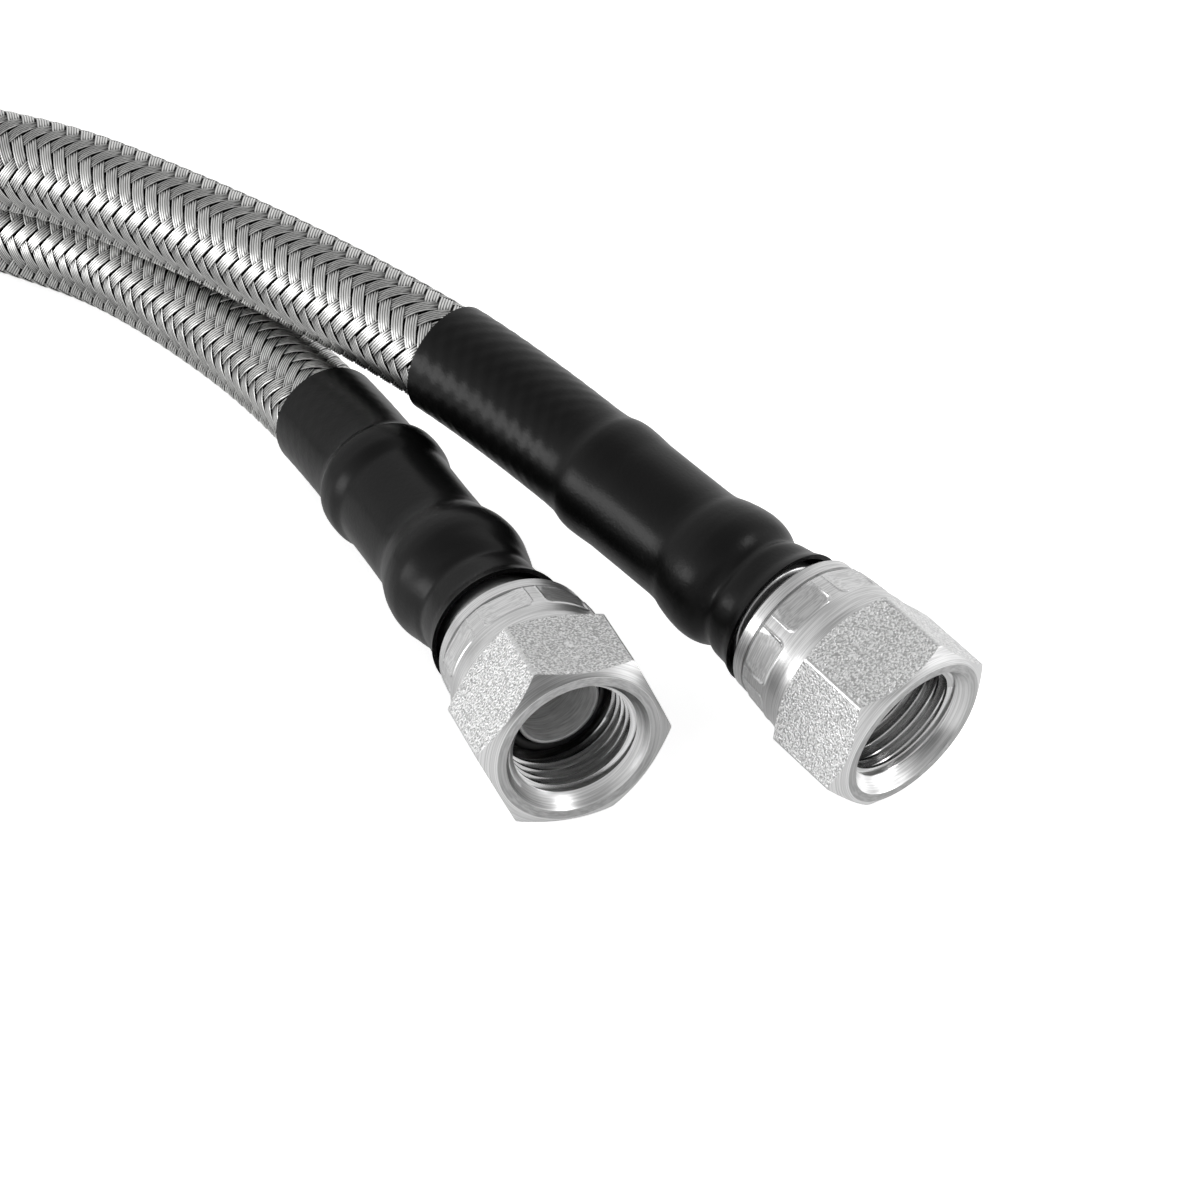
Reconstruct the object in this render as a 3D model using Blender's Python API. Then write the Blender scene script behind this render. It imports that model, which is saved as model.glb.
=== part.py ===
"""Hydraulic hose assembly, one metre long, laid down with its two ends side by side.

A steel-braided hose turns back on itself in a loop. Each end carries a swivel fitting: a loose
hexagon nut on a nipple with a sealing nose and O-ring, a crimped ferrule, and a heat-shrink sleeve.
The frame is metres with +Z up, and the floor is at z = 0. The end called b points along -Y.
Stations along a fitting are distances from the nut's front face back towards the hose.
"""

import math

import bmesh
import bpy
import numpy as np
from mathutils import Matrix, Vector

MM = 0.001

# Nut: a 27 mm hexagon for a G 1/2 thread, with a turned collar behind it
NUT_FLATS = 27.0
NUT_FACE_RADIUS = 12.9
NUT_CHAMFER_LENGTH = 1.9
NUT_HEX_END = 13.65
NUT_COLLAR_RADIUS = 13.5
NUT_REAR_RADIUS = 12.2
NUT_LENGTH = 27.0
NUT_MOUTH_RADIUS = 11.35
NUT_COUNTERBORE_RADIUS = 10.9
NUT_COUNTERBORE_DEPTH = 2.6
THREAD_MAJOR_RADIUS = 10.48
THREAD_MINOR_RADIUS = 9.32
THREAD_PITCH = 1.814
THREAD_END = 10.5
RELIEF_RADIUS = 10.6
RELIEF_END = 17.6
NUT_BORE_RADIUS = 8.45
STAKES = 8
STAKE_SIZE = (7.4, 4.8)
STAKE_DEPTH_RADIUS = 12.15
STAKE_STATION = 21.7
GROOVE_STATION = 24.4

# Nipple: sealing nose, O-ring groove, head that holds the nut, shoulder, ferrule groove and tail.
# What lies behind the shoulder is counted from the ferrule's front.
NOSE_STATION = 10.3
NOSE_BORE_RADIUS = 6.2
NOSE_LIP_RADIUS = 6.75
HEAD_RADIUS = 8.9
NECK_RADIUS = 7.5
SHOULDER_FRONT = 29.5
TAIL_RADIUS = 5.7
TAIL_END = 31.0
TAIL_BORE_RADIUS = 4.6
BARBS = 6
BARB_HEIGHT = 0.22
O_RING_STATION = 12.1
O_RING_MEAN_RADIUS = 7.9
O_RING_WIRE_RADIUS = 1.1

# Ferrule: a shell crimped in eight places, with a full round front and a bell at the rear
FERRULE_LENGTH = 32.5
FERRULE_BULGE_RADIUS = 10.5
FERRULE_CRIMP_RADIUS = 9.1
FERRULE_BELL_RADIUS = 9.35
FERRULE_INSIDE_RADIUS = 7.95
CRIMPS = 8
CRIMP_DEPTH = 0.12

# Hose: liner under a wire braid, squeezed where the ferrule grips it
HOSE_RADIUS = 8.5
LINER_RADIUS = 7.6
LINER_BORE_RADIUS = 6.35
SQUEEZED_HOSE_RADIUS = 7.65
SQUEEZED_LINER_RADIUS = 6.9
HOSE_FRONT = 3.5
SQUEEZE_END = 31.5
GAP = 0.3
SLEEVE_WALL = 0.55

# Where each end lies: the point at station PIVOT, the way the fitting and its nut point in plan
# and their rise towards the mouth, the turn of the hexagon, the ferrule's front, the sleeve's two
# cut edges, and its radius over the ferrule's bulge and rear edge
PIVOT = 20.0
ENDS = {
    "a": {
        "pivot": (18.63, -34.57, 17.28),
        "fitting_plan": -70.1,
        "fitting_rise": -5.5,
        "nut_plan": -72.3,
        "nut_rise": -7.4,
        "nut_turn": 44.9,
        "ferrule": 36.3,
        "sleeve": (28.9, 105.0),
        "swell": (11.4, 10.2),
    },
    "b": {
        "pivot": (-22.31, -18.74, 14.11),
        "fitting_plan": -85.0,
        "fitting_rise": 2.6,
        "nut_plan": -90.0,
        "nut_rise": 3.2,
        "nut_turn": 8.2,
        "ferrule": 41.3,
        "sleeve": (31.0, 95.0),
        "swell": (11.6, 10.75),
    },
}

# The hose between its ferrules: over the other strand, out of the picture round a loop on the
# floor, and back under the first strand. It starts and ends in line with the fittings.
AXIS_STATIONS = (60.0, 72.0)
ROUTE = (
    (-11.4, 42.8, 25.7),
    (-23.3, 66.7, 26.3),
    (-32.9, 83.8, 26.4),
    (-44.7, 102.5, 26.4),
    (-57.6, 119.7, 26.3),
    (-64.6, 126.6, 26.2),
    (-77.8, 137.7, 26.0),
    (-91.8, 146.8, 23.4),
    (-109.8, 154.8, 16.8),
    (-129.8, 159.2, 10.9),
    (-151.8, 160.4, 8.7),
    (-179.2, 160.9, 8.6),
    (-226.4, 180.5, 8.6),
    (-253.9, 223.6, 8.6),
    (-251.7, 274.7, 8.6),
    (-220.6, 315.2, 8.6),
    (-171.8, 330.6, 8.6),
    (-123.0, 315.2, 8.6),
    (-91.9, 274.7, 8.6),
    (-86.0, 220.4, 8.6),
    (-85.0, 191.4, 8.6),
    (-79.3, 159.9, 8.6),
    (-62.7, 131.6, 8.6),
    (-51.7, 117.8, 8.6),
    (-45.1, 106.5, 8.6),
    (-39.3, 93.4, 8.6),
    (-34.2, 79.0, 8.8),
)
HOSE_STEP = 25.0
SHORT_STEP = 4.0

ROUND = 24
NUT_ROUND = 48


def material(name, colour, roughness, metallic=0.0):
    made = bpy.data.materials.new(name)
    made.use_nodes = True
    shader = made.node_tree.nodes["Principled BSDF"]
    shader.inputs["Base Color"].default_value = (*colour, 1.0)
    shader.inputs["Roughness"].default_value = roughness
    shader.inputs["Metallic"].default_value = metallic
    return made


def directions(plan, rise):
    """Level side, upright and backward unit vectors of something that points this way."""
    plan, rise = math.radians(plan), math.radians(rise)
    forward = Vector((math.cos(rise) * math.cos(plan), math.cos(rise) * math.sin(plan), math.sin(rise)))
    side = Vector((math.sin(plan), -math.cos(plan), 0.0))
    return side, forward.cross(-side), -forward


def placed(end, what):
    """The matrix that puts a piece, made round its own Z axis with station PIVOT at zero, in its end."""
    side, upright, back = directions(ENDS[end][what + "_plan"], ENDS[end][what + "_rise"])
    turn = Matrix((side, upright, back)).transposed().to_4x4()
    return Matrix.Translation(Vector(ENDS[end]["pivot"]) * MM) @ turn


def axis_point(end, station):
    """The point of a fitting's axis at this station, in millimetres."""
    back = directions(ENDS[end]["fitting_plan"], ENDS[end]["fitting_rise"])[2]
    return Vector(ENDS[end]["pivot"]) + (station - PIVOT) * back


def finished(bm, name, finish, matrix=None, sharp=35.0):
    """An object of this mesh, in millimetres until now, with its faces out and shaded smooth."""
    bmesh.ops.remove_doubles(bm, verts=bm.verts, dist=0.001)
    bmesh.ops.recalc_face_normals(bm, faces=bm.faces)
    bmesh.ops.scale(bm, vec=(MM, MM, MM), verts=bm.verts)
    mesh = bpy.data.meshes.new(name)
    bm.to_mesh(mesh)
    bm.free()
    mesh.shade_smooth()
    mesh.set_sharp_from_angle(angle=math.radians(sharp))
    mesh.materials.append(finish)
    made = bpy.data.objects.new(name, mesh)
    bpy.context.scene.collection.objects.link(made)
    if matrix is not None:
        made.matrix_world = matrix
    return made


def turned(profile, steps=ROUND, start=PIVOT):
    """A closed outline of (station, radius) points, spun into a solid round the Z axis."""
    bm = bmesh.new()
    outline = [bm.verts.new((radius, 0.0, station - start)) for station, radius in profile]
    edges = [bm.edges.new((outline[i - 1], outline[i])) for i in range(len(outline))]
    bmesh.ops.spin(
        bm, geom=outline + edges, cent=(0, 0, 0), axis=(0, 0, 1), angle=math.tau, steps=steps, use_merge=True
    )
    bmesh.ops.remove_doubles(bm, verts=bm.verts, dist=0.001)
    return bm


def cutter(bm, name):
    made = finished(bm, name, materials["zinc"])
    made.hide_render = True
    made.display_type = "WIRE"
    return made


def boolean(target, other, operation):
    step = target.modifiers.new(operation.title(), "BOOLEAN")
    step.operation = operation
    step.object = other


def hexagon_envelope():
    """A solid of revolution that rounds off the hexagon's corners at its front and rear."""
    corner = NUT_FLATS / math.sqrt(3) + 0.03
    over = 1.0 / math.cos(math.pi / NUT_ROUND)
    return turned(
        (
            (0.0, 0.5),
            (0.0, NUT_FACE_RADIUS),
            (NUT_CHAMFER_LENGTH, corner * over),
            (NUT_HEX_END, corner * over),
            (NUT_HEX_END + 1.2, NUT_COLLAR_RADIUS - 0.1),
            (NUT_HEX_END + 1.2, 0.5),
        ),
        NUT_ROUND,
    )


def collar():
    """The turned collar, with the groove and rough band that end it, and a core to join it by."""
    groove, band = GROOVE_STATION, NUT_REAR_RADIUS
    return turned(
        (
            (NUT_HEX_END - 1.5, 6.0),
            (NUT_HEX_END - 1.5, NUT_COLLAR_RADIUS - 1.0),
            (NUT_HEX_END + 0.4, NUT_COLLAR_RADIUS - 0.05),
            (16.2, NUT_COLLAR_RADIUS - 0.1),
            (17.6, 13.15),
            (19.4, 12.9),
            (21.6, 12.75),
            (groove - 0.3, 12.45),
            (groove - 0.1, band - 0.55),
            (groove + 0.25, band - 0.55),
            (groove + 0.35, band),
            (NUT_LENGTH - 0.4, band - 0.1),
            (NUT_LENGTH, band - 0.45),
            (NUT_LENGTH, 6.0),
        ),
        NUT_ROUND,
    )


def nut_bore():
    """What is bored out of the nut: mouth, counterbore, thread core, relief and rear hole."""
    return turned(
        (
            (-1.0, 0.3),
            (-1.0, NUT_MOUTH_RADIUS + 0.6),
            (0.0, NUT_MOUTH_RADIUS),
            (0.5, NUT_COUNTERBORE_RADIUS),
            (NUT_COUNTERBORE_DEPTH, NUT_COUNTERBORE_RADIUS),
            (NUT_COUNTERBORE_DEPTH + 0.9, THREAD_MINOR_RADIUS),
            (THREAD_END, THREAD_MINOR_RADIUS),
            (THREAD_END + 0.6, RELIEF_RADIUS),
            (RELIEF_END - 1.2, RELIEF_RADIUS),
            (RELIEF_END, NUT_BORE_RADIUS),
            (NUT_LENGTH + 1.0, NUT_BORE_RADIUS),
            (NUT_LENGTH + 1.0, 0.3),
        )
    )


def thread_cutter():
    """A V-shaped ridge along a helix, which cuts the nut's thread between counterbore and relief."""
    bm = bmesh.new()
    start, end = NUT_COUNTERBORE_DEPTH - 0.9, THREAD_END + 0.9
    turns = (end - start) / THREAD_PITCH
    steps = round(turns * ROUND)
    outline = ((9.1, -0.82), (THREAD_MAJOR_RADIUS, -0.14), (THREAD_MAJOR_RADIUS, 0.14), (9.1, 0.82))
    verts = [bm.verts.new((radius, 0.0, start - PIVOT + along)) for radius, along in outline]
    first = [bm.edges.new((verts[i - 1], verts[i])) for i in range(len(verts))]
    bmesh.ops.spin(
        bm,
        geom=verts + first,
        cent=(0, 0, 0),
        axis=(0, 0, 1),
        dvec=(0, 0, THREAD_PITCH / ROUND),
        angle=math.tau * steps / ROUND,
        steps=steps,
    )
    bmesh.ops.holes_fill(bm, edges=[edge for edge in bm.edges if edge.is_boundary], sides=4)
    return bm


def stakes():
    """Eight flat-bottomed pockets round the rear of the collar, pressed in to hold the nut on."""
    bm = bmesh.new()
    width, length = STAKE_SIZE
    for i in range(STAKES):
        box = bmesh.ops.create_cube(bm, size=1.0)["verts"]
        bmesh.ops.scale(bm, vec=(2.0, width, length), verts=box)
        bmesh.ops.translate(bm, vec=(STAKE_DEPTH_RADIUS + 1.0, 0.0, STAKE_STATION - PIVOT), verts=box)
        turn = Matrix.Rotation(math.tau * (i + 0.5) / STAKES, 3, "Z")
        bmesh.ops.rotate(bm, cent=(0, 0, 0), matrix=turn, verts=box)
    return bm


def make_nut(end):
    """The hexagon, its collar, its thread and its stakes, as one closed body on its own axis."""
    hexagon = bmesh.new()
    corner, length = NUT_FLATS / math.sqrt(3), NUT_HEX_END + 2.0
    bmesh.ops.create_cone(hexagon, cap_ends=True, segments=6, radius1=corner, radius2=corner, depth=length)
    bmesh.ops.translate(hexagon, vec=(0, 0, length / 2 - PIVOT), verts=hexagon.verts)
    matrix = placed(end, "nut") @ Matrix.Rotation(math.radians(ENDS[end]["nut_turn"] - 90.0), 4, "Z")
    nut = finished(hexagon, "nut_" + end, materials["zinc"])
    for bm, name, operation in (
        (hexagon_envelope(), "envelope", "INTERSECT"),
        (collar(), "collar", "UNION"),
        (nut_bore(), "bore", "DIFFERENCE"),
        (thread_cutter(), "thread", "DIFFERENCE"),
        (stakes(), "stakes", "DIFFERENCE"),
    ):
        other = cutter(bm, f"cut_{name}_{end}")
        other.parent = nut
        boolean(nut, other, operation)
    nut.matrix_world = matrix
    return nut


def make_nipple(end):
    """Nose with its O-ring groove, head, neck, shoulder, ferrule groove and barbed tail, bored through."""
    ferrule = ENDS[end]["ferrule"]
    groove = NOSE_LIP_RADIUS - 0.35
    ring_front = O_RING_STATION - O_RING_WIRE_RADIUS - GAP
    ring_back = O_RING_STATION + O_RING_WIRE_RADIUS + GAP
    outline = [
        (NOSE_STATION, NOSE_BORE_RADIUS),
        (NOSE_STATION, NOSE_LIP_RADIUS - 0.1),
        (NOSE_STATION + 0.15, NOSE_LIP_RADIUS),
        (ring_front, groove),
        (ring_back, groove),
        (ring_back, HEAD_RADIUS - 0.4),
        (ring_back + 0.4, HEAD_RADIUS),
        (15.6, HEAD_RADIUS),
        (16.6, NECK_RADIUS),
        (SHOULDER_FRONT - 0.6, NECK_RADIUS),
        (SHOULDER_FRONT, HEAD_RADIUS - 0.3),
        (SHOULDER_FRONT + 0.3, HEAD_RADIUS),
        (ferrule - 0.4, HEAD_RADIUS),
        (ferrule - 0.4, 6.6),
        (ferrule + 2.6, 6.6),
        (ferrule + 2.6, TAIL_RADIUS),
    ]
    pitch = (TAIL_END - 1.5 - HOSE_FRONT) / BARBS
    for i in range(BARBS):
        station = ferrule + HOSE_FRONT + i * pitch
        outline += [(station + 0.6, TAIL_RADIUS + BARB_HEIGHT), (station + pitch - 0.4, TAIL_RADIUS)]
    outline += [
        (ferrule + TAIL_END, TAIL_RADIUS - 0.6),
        (ferrule + TAIL_END, TAIL_BORE_RADIUS),
        (34.0, TAIL_BORE_RADIUS),
        (31.0, NOSE_BORE_RADIUS),
    ]
    return finished(turned(outline), "nipple_" + end, materials["steel"], placed(end, "fitting"))


def make_o_ring(end):
    sides = 10
    outline = [
        (
            O_RING_STATION + O_RING_WIRE_RADIUS * math.sin(math.tau * i / sides),
            O_RING_MEAN_RADIUS + O_RING_WIRE_RADIUS * math.cos(math.tau * i / sides),
        )
        for i in range(sides)
    ]
    return finished(turned(outline), "o_ring_" + end, materials["rubber"], placed(end, "fitting"))


def make_ferrule(end):
    """The shell, with its front turned in to the nipple's groove and its grip pressed in eight places."""
    bulge, crimp, bell = FERRULE_BULGE_RADIUS, FERRULE_CRIMP_RADIUS, FERRULE_BELL_RADIUS
    front = ENDS[end]["ferrule"]
    bm = turned(
        (
            (0.0, 6.95),
            (0.0, 9.1),
            (1.0, 9.8),
            (2.6, bulge - 0.15),
            (4.6, bulge),
            (6.6, bulge - 0.25),
            (8.4, 10.0),
            (10.2, 9.3),
            (12.0, crimp),
            (20.0, crimp),
            (27.5, crimp),
            (29.6, bell - 0.1),
            (31.0, bell),
            (FERRULE_LENGTH, bell),
            (FERRULE_LENGTH, 8.35),
            (31.0, FERRULE_INSIDE_RADIUS),
            (HOSE_FRONT - 1.2, FERRULE_INSIDE_RADIUS),
            (HOSE_FRONT - 1.2, 6.95),
        ),
        start=PIVOT - front,
    )
    for vert in bm.verts:
        radius = math.hypot(vert.co.x, vert.co.y)
        if 11.0 < vert.co.z + PIVOT - front < 28.0 and radius > FERRULE_INSIDE_RADIUS + 0.5:
            dip = CRIMP_DEPTH * (0.5 + 0.5 * math.cos(CRIMPS * math.atan2(vert.co.y, vert.co.x)))
            vert.co.x *= 1.0 - dip / radius
            vert.co.y *= 1.0 - dip / radius
    return finished(bm, "ferrule_" + end, materials["steel"], placed(end, "fitting"))


def smooth_curve(points):
    """A natural cubic spline through these points, read every half millimetre: its points and distances."""
    points = np.array(points, float)
    spans = np.linalg.norm(np.diff(points, axis=0), axis=1)
    knots = np.concatenate([[0.0], np.cumsum(spans)])
    count = len(points)
    system = np.eye(count)
    known = np.zeros((count, 3))
    for i in range(1, count - 1):
        system[i, i - 1 : i + 2] = (spans[i - 1], 2 * (spans[i - 1] + spans[i]), spans[i])
        known[i] = 6 * ((points[i + 1] - points[i]) / spans[i] - (points[i] - points[i - 1]) / spans[i - 1])
    bends = np.linalg.solve(system, known)
    at = np.arange(0.0, knots[-1], 0.5)
    i = np.clip(np.searchsorted(knots, at, side="right") - 1, 0, count - 2)
    span, after = spans[i, None], (at - knots[i])[:, None]
    before = span - after
    curve = (
        (points[i] / span - bends[i] * span / 6) * before
        + (points[i + 1] / span - bends[i + 1] * span / 6) * after
        + (bends[i] * before**3 + bends[i + 1] * after**3) / (6 * span)
    )
    distance = np.concatenate([[0.0], np.cumsum(np.linalg.norm(np.diff(curve, axis=0), axis=1))])
    return curve, distance


def hose_line():
    """The centre line of the whole hose, from one fitting's axis to the other's."""
    start, end = AXIS_STATIONS
    points = [axis_point("a", start), axis_point("a", end), *ROUTE, axis_point("b", end), axis_point("b", start)]
    return smooth_curve([tuple(point) for point in points])


def on_line(line, distance):
    """A point of the centre line and the way it runs there."""
    curve, distances = line
    read = [np.interp((distance - 0.5, distance, distance + 0.5), distances, curve[:, k]) for k in range(3)]
    before, here, after = (Vector([axis[i] for axis in read]) for i in range(3))
    return here, (after - before).normalized()


def bent(bm, end, line):
    """Moves a turned piece onto its end's axis, and behind the ferrule onto the hose's centre line."""
    total = line[1][-1]
    for vert in bm.verts:
        station = vert.co.z + PIVOT
        past = station - AXIS_STATIONS[0]
        if past <= 0.5:
            here = axis_point(end, station)
            back = directions(ENDS[end]["fitting_plan"], ENDS[end]["fitting_rise"])[2]
        elif end == "a":
            here, back = on_line(line, past)
        else:
            here, back = on_line(line, total - past)
            back = -back
        upright = (Vector((0, 0, 1)) - back * back.z).normalized()
        vert.co = here + vert.co.x * upright.cross(back) + vert.co.y * upright
    return bm


def stations(first, last, step):
    count = max(1, round((last - first) / step))
    return [first + (last - first) * i / count for i in range(count + 1)]


def make_sleeve(end, line):
    """The heat-shrink sleeve: a flared lip, a neck, a bulge and a ridge over the ferrule, then the hose."""
    front, rear = ENDS[end]["sleeve"]
    ferrule = ENDS[end]["ferrule"]
    bulge, ridge = ENDS[end]["swell"]
    outside = [
        (front, 11.1),
        (front + 1.7, 10.85),
        (front + 3.6, 10.2),
        (ferrule - 1.6, 9.75),
        (ferrule, 10.2),
        (ferrule + 1.4, bulge - 0.6),
        (ferrule + 3.0, bulge - 0.1),
        (ferrule + 4.8, bulge),
        (ferrule + 7.0, bulge - 0.25),
        (ferrule + 9.2, 10.7),
        (ferrule + 11.0, 10.1),
        (ferrule + 13.0, 9.9),
        (ferrule + 20.0, 9.86),
        (ferrule + 26.8, 9.9),
        (ferrule + 29.2, ridge - 0.1),
        (ferrule + 31.6, ridge),
        (ferrule + 33.6, ridge - 0.25),
        (ferrule + 35.6, 9.5),
    ]
    outside += [(station, 9.33) for station in stations(ferrule + 38.0, rear, 5.0)]
    inside = [(station, radius - SLEEVE_WALL) for station, radius in outside]
    inside[0] = (front, 11.1 - 1.5 * SLEEVE_WALL)
    return finished(bent(turned(outside + inside[::-1]), end, line), "heat_shrink_" + end, materials["shrink"])


def make_layer(name, end, line, squeezed, free, finish):
    """One layer of the hose's end, as outer and inner radii: squeezed under the ferrule, free behind it."""
    ferrule, rear = ENDS[end]["ferrule"], ENDS[end]["sleeve"][1]
    gripped = (ferrule + HOSE_FRONT, ferrule + SQUEEZE_END - 1.5)
    behind = stations(ferrule + SQUEEZE_END + 4.5, rear, 5.0)
    outside, inside = (
        [(station, tight) for station in gripped] + [(station, loose) for station in behind]
        for tight, loose in zip(squeezed, free)
    )
    return finished(bent(turned(outside + inside[::-1]), end, line), f"{name}_{end}", finish)


def make_hose(line):
    """The free hose, a tube read along its centre line between the two sleeves' rear edges."""
    start, total = AXIS_STATIONS[0], line[1][-1]
    first = ENDS["a"]["sleeve"][1] + GAP - start
    last = total - (ENDS["b"]["sleeve"][1] + GAP - start)
    data = bpy.data.curves.new("hose_run", "CURVE")
    data.dimensions = "3D"
    data.bevel_depth = HOSE_RADIUS * MM
    data.bevel_resolution = 3
    data.use_fill_caps = True
    spline = data.splines.new("POLY")
    distances = [first, *stations(first + SHORT_STEP, last - SHORT_STEP, HOSE_STEP), last]
    spline.points.add(len(distances) - 1)
    for point, distance in zip(spline.points, distances):
        point.co = (*(on_line(line, distance)[0] * MM), 1.0)
    data.materials.append(materials["braid"])
    made = bpy.data.objects.new("hose_run", data)
    bpy.context.scene.collection.objects.link(made)
    return made


for old in list(bpy.data.objects):
    bpy.data.objects.remove(old, do_unlink=True)

materials = {
    "zinc": material("zinc_plated_steel", (0.72, 0.73, 0.73), 0.35, 1.0),
    "steel": material("turned_steel", (0.55, 0.55, 0.56), 0.35, 1.0),
    "rubber": material("nitrile_rubber", (0.012, 0.012, 0.013), 0.5),
    "shrink": material("heat_shrink", (0.016, 0.016, 0.018), 0.45),
    "liner": material("hose_liner", (0.02, 0.02, 0.02), 0.6),
    "braid": material("stainless_braid", (0.6, 0.6, 0.6), 0.35, 1.0),
}

hose_centre = hose_line()
for label in ENDS:
    make_nut(label)
    make_nipple(label)
    make_o_ring(label)
    make_ferrule(label)
    make_sleeve(label, hose_centre)
    squeezed, free = (SQUEEZED_HOSE_RADIUS, SQUEEZED_LINER_RADIUS + GAP), (HOSE_RADIUS, LINER_RADIUS + GAP)
    make_layer("braid_end", label, hose_centre, squeezed, free, materials["braid"])
    squeezed, free = (SQUEEZED_LINER_RADIUS, TAIL_RADIUS + BARB_HEIGHT + GAP), (LINER_RADIUS, LINER_BORE_RADIUS)
    make_layer("liner_end", label, hose_centre, squeezed, free, materials["liner"])
make_hose(hose_centre)
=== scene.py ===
"""Hydraulic hose assembly: its finish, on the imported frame. Metres, +Z up, floor at z = 0.

A hose under one braid of bright steel wire doubles back on itself, with a swivel fitting at each
end. Sizes are written in millimetres, and turned to metres where a piece is put in its place.
"""

import math

import bmesh
import bpy
import numpy as np
from mathutils import Matrix, Vector


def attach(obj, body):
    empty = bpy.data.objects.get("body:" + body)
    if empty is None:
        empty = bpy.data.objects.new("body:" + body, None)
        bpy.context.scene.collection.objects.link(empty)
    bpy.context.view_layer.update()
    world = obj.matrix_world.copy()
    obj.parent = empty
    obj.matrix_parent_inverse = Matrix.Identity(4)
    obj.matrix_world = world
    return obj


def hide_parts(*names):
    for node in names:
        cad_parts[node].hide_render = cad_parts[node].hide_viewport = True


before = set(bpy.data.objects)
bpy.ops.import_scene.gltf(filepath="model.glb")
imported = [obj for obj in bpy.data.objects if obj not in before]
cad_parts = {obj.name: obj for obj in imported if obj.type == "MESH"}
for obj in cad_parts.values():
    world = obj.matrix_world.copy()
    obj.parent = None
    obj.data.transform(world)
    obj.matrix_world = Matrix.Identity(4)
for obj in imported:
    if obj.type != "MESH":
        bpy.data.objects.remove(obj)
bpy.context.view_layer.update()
scene = bpy.context.scene

# The view: a long lens from the front left, looking down on both fittings, so that the hose
# leaves the frame at its left edge.
camera = bpy.data.objects.new("camera", bpy.data.cameras.new("camera"))
scene.collection.objects.link(camera)
camera.location = (-0.16285, -0.39645, 0.3740)
camera.rotation_euler = (math.radians(49.34), 0.0, math.radians(-21.9))
camera.data.lens = 108.0
camera.data.sensor_width = 36.0
camera.data.clip_start = 0.01
scene.camera = camera

# The hose's line: straight out of one fitting, over the other strand, round a loop on the floor,
# and back under itself into the other fitting. It is the middle of the hose, and stiff enough to
# keep its bends wide.
MM = 0.001
PIVOT_STATION = 20.0  # a station is a distance along a fitting's axis, back from its nut's front face
FITTINGS = {  # each nut's pivot, and its fitting's turn on plan and its rise, in degrees
    "a": {"pivot": (18.63, -34.57, 17.28), "way": (-70.1, -5.5)},
    "b": {"pivot": (-22.31, -18.74, 14.11), "way": (-85.0, 2.6)},
}
LINE_STATIONS = (60.0, 72.0)
LINE_STEP = 0.5
ROUTE = (
    (-11.4, 42.8, 25.7),
    (-23.3, 66.7, 26.3),
    (-32.9, 83.8, 26.4),
    (-44.7, 102.5, 26.4),
    (-57.6, 119.7, 26.3),
    (-64.6, 126.6, 26.2),
    (-77.8, 137.7, 26.0),
    (-91.8, 146.8, 23.4),
    (-109.8, 154.8, 16.8),
    (-129.8, 159.2, 10.9),
    (-151.8, 160.4, 8.7),
    (-179.2, 160.9, 8.6),
    (-226.4, 180.5, 8.6),
    (-253.9, 223.6, 8.6),
    (-251.7, 274.7, 8.6),
    (-220.6, 315.2, 8.6),
    (-171.8, 330.6, 8.6),
    (-123.0, 315.2, 8.6),
    (-91.9, 274.7, 8.6),
    (-86.0, 220.4, 8.6),
    (-85.0, 191.4, 8.6),
    (-79.3, 159.9, 8.6),
    (-62.7, 131.6, 8.6),
    (-51.7, 117.8, 8.6),
    (-45.1, 106.5, 8.6),
    (-39.3, 93.4, 8.6),
    (-34.2, 79.0, 8.8),
)


def directions(plan, rise):
    """Level side, upright and backward unit vectors of something that points this way."""
    plan, rise = math.radians(plan), math.radians(rise)
    forward = Vector(
        (math.cos(rise) * math.cos(plan), math.cos(rise) * math.sin(plan), math.sin(rise))
    )
    side = Vector((math.sin(plan), -math.cos(plan), 0.0))
    return side, forward.cross(-side), -forward


def axis_point(end, station):
    """The point of a fitting's axis at this station."""
    back = directions(*FITTINGS[end]["way"])[2]
    return Vector(FITTINGS[end]["pivot"]) + (station - PIVOT_STATION) * back


def smooth_curve(points):
    """A natural cubic spline through these points, read in short steps: its points and distances."""
    points = np.array(points, float)
    spans = np.linalg.norm(np.diff(points, axis=0), axis=1)
    knots = np.concatenate([[0.0], np.cumsum(spans)])
    count = len(points)
    system = np.eye(count)
    known = np.zeros((count, 3))
    for i in range(1, count - 1):
        system[i, i - 1 : i + 2] = (spans[i - 1], 2 * (spans[i - 1] + spans[i]), spans[i])
        before, after = (points[i] - points[i - 1]) / spans[i - 1], (points[i + 1] - points[i]) / spans[i]
        known[i] = 6 * (after - before)
    bends = np.linalg.solve(system, known)
    at = np.arange(0.0, knots[-1], LINE_STEP)
    i = np.clip(np.searchsorted(knots, at, side="right") - 1, 0, count - 2)
    span, after = spans[i, None], (at - knots[i])[:, None]
    before = span - after
    curve = (
        (points[i] / span - bends[i] * span / 6) * before
        + (points[i + 1] / span - bends[i + 1] * span / 6) * after
        + (bends[i] * before**3 + bends[i + 1] * after**3) / (6 * span)
    )
    steps = np.linalg.norm(np.diff(curve, axis=0), axis=1)
    return curve, np.concatenate([[0.0], np.cumsum(steps)])


line, line_distance = smooth_curve(
    [tuple(axis_point("a", station)) for station in LINE_STATIONS]
    + list(ROUTE)
    + [tuple(axis_point("b", station)) for station in LINE_STATIONS[::-1]]
)
line_length = line_distance[-1]
line_ahead = np.gradient(line, axis=0)
line_ahead /= np.linalg.norm(line_ahead, axis=1)[:, None]
line_up = np.array((0.0, 0.0, 1.0)) - line_ahead * line_ahead[:, 2:]
line_up /= np.linalg.norm(line_up, axis=1)[:, None]
line_side = np.cross(line_ahead, line_up)


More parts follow.
